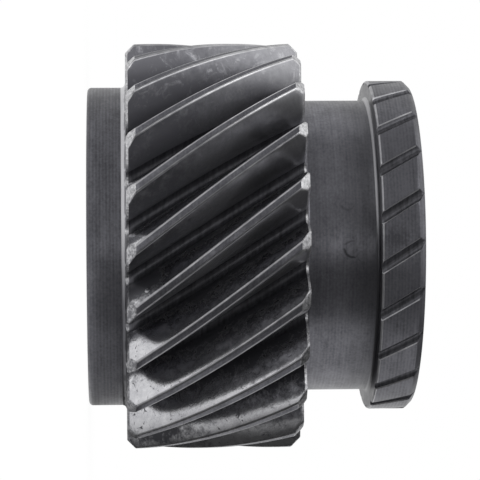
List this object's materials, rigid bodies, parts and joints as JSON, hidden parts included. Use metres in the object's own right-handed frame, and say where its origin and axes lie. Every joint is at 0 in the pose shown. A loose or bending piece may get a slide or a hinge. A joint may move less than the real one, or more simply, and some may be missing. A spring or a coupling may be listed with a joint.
{
  "type": "helical gear",
  "caption": "Left-hand helical gear with a short plain hub, a slimmer neck and an end collar marked by slanting hob grooves, bored through to run on a shaft.",
  "frame": {"origin": "on the gear's axis at the end face of its hub", "axes": "+Z along the gear's axis from the hub to the collar; X and Y are in the end face, with a tooth centred on +X at the hub end"},
  "size_m": [0.0744, 0.0744, 0.0588],
  "materials": {
    "gear_steel": "dark phosphated steel, satin, with turning marks"
  },
  "bodies": {
    "root": {"helical_gear": "gear_steel"}
  },
  "joints": []
}
